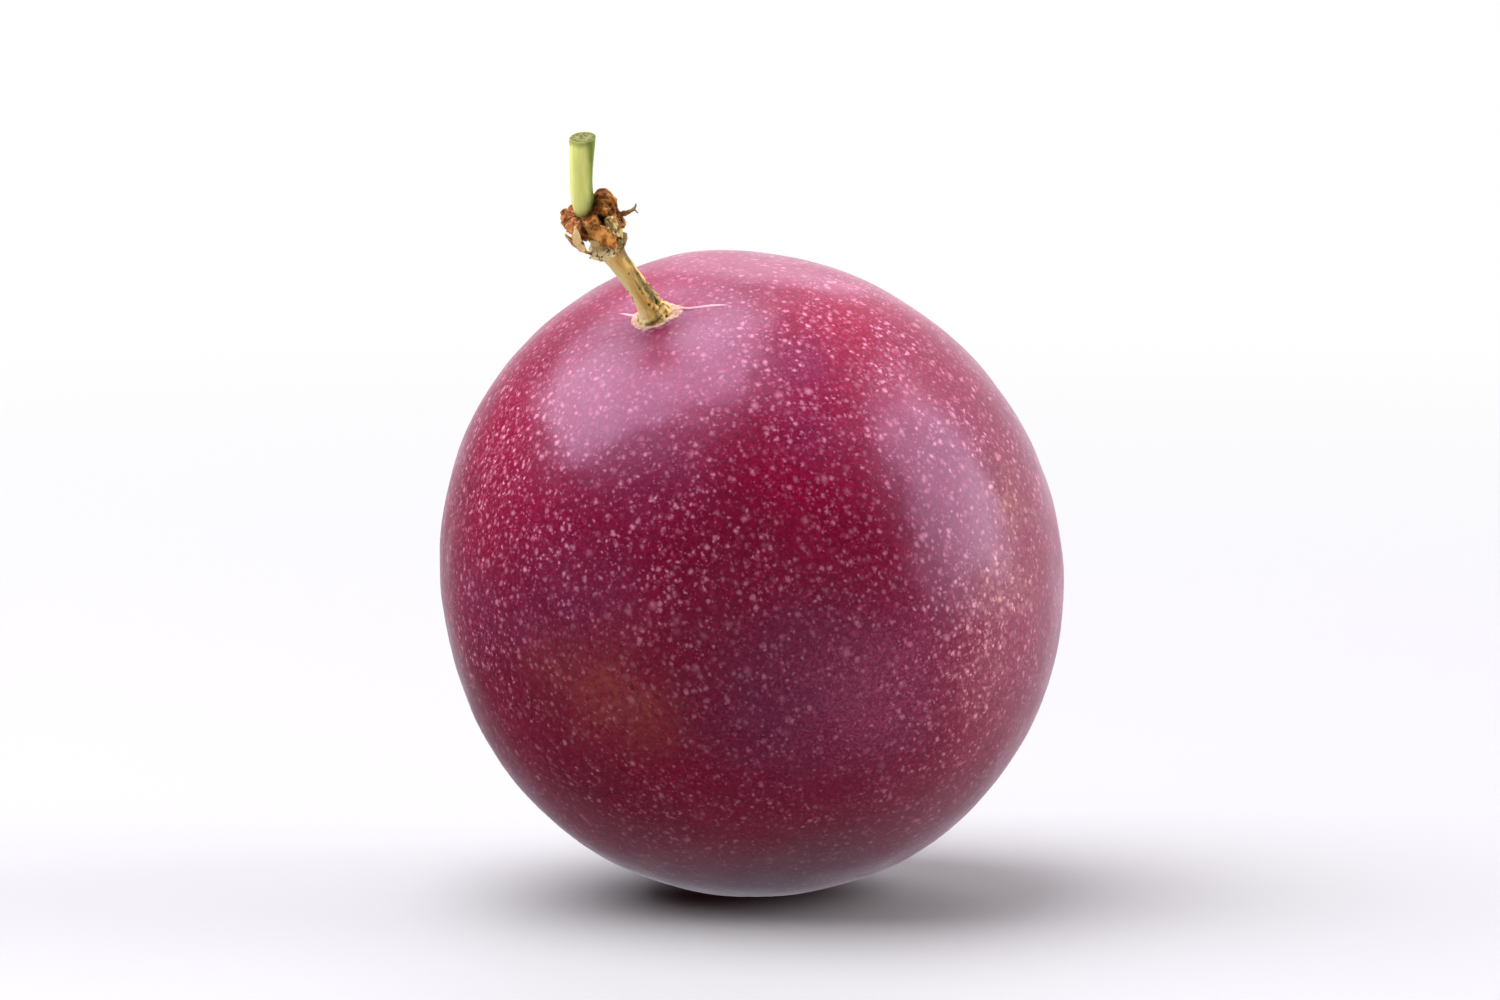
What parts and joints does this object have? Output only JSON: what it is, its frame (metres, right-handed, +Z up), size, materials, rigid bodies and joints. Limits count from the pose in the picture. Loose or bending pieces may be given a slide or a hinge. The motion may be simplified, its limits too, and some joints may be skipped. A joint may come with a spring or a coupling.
{
  "type": "passion fruit",
  "caption": "Ripe whole passion fruit with speckled crimson-purple rind, resting on a small flat spot, with its woody stalk, dried flower cup and a cut green stub.",
  "frame": {"origin": "the middle of the flat spot that the fruit rests on", "axes": "+Z straight up from the surface it rests on; the fruit's own axis leans more towards -Y (the front) than -X, and its stalk more towards -X than -Y"},
  "size_m": [0.0624, 0.0628, 0.0789],
  "materials": {
    "rind_skin": "smooth waxy skin, deep crimson to plum, dense fine pale speckles, satin gloss",
    "stalk_wood": "dry ochre wood, lengthwise ridges with dark streaks, matte",
    "dried_calyx": "crumpled dry brown flower tissue, matte",
    "torn_fibre": "pale torn dry fibre, matte",
    "green_stalk": "smooth fresh pale green stalk with a damp cut end",
    "dried_style": "dark dry stub, matte"
  },
  "bodies": {
    "root": {"fruit": "rind_skin", "woody_stalk": "stalk_wood", "calyx_cup": "dried_calyx", "sepal_1": "torn_fibre", "sepal_2": "torn_fibre", "sepal_3": "torn_fibre", "sepal_4": "torn_fibre", "sepal_5": "torn_fibre", "bract_awn": "dried_calyx", "peduncle": "green_stalk", "style_remnant": "dried_style"}
  },
  "joints": []
}
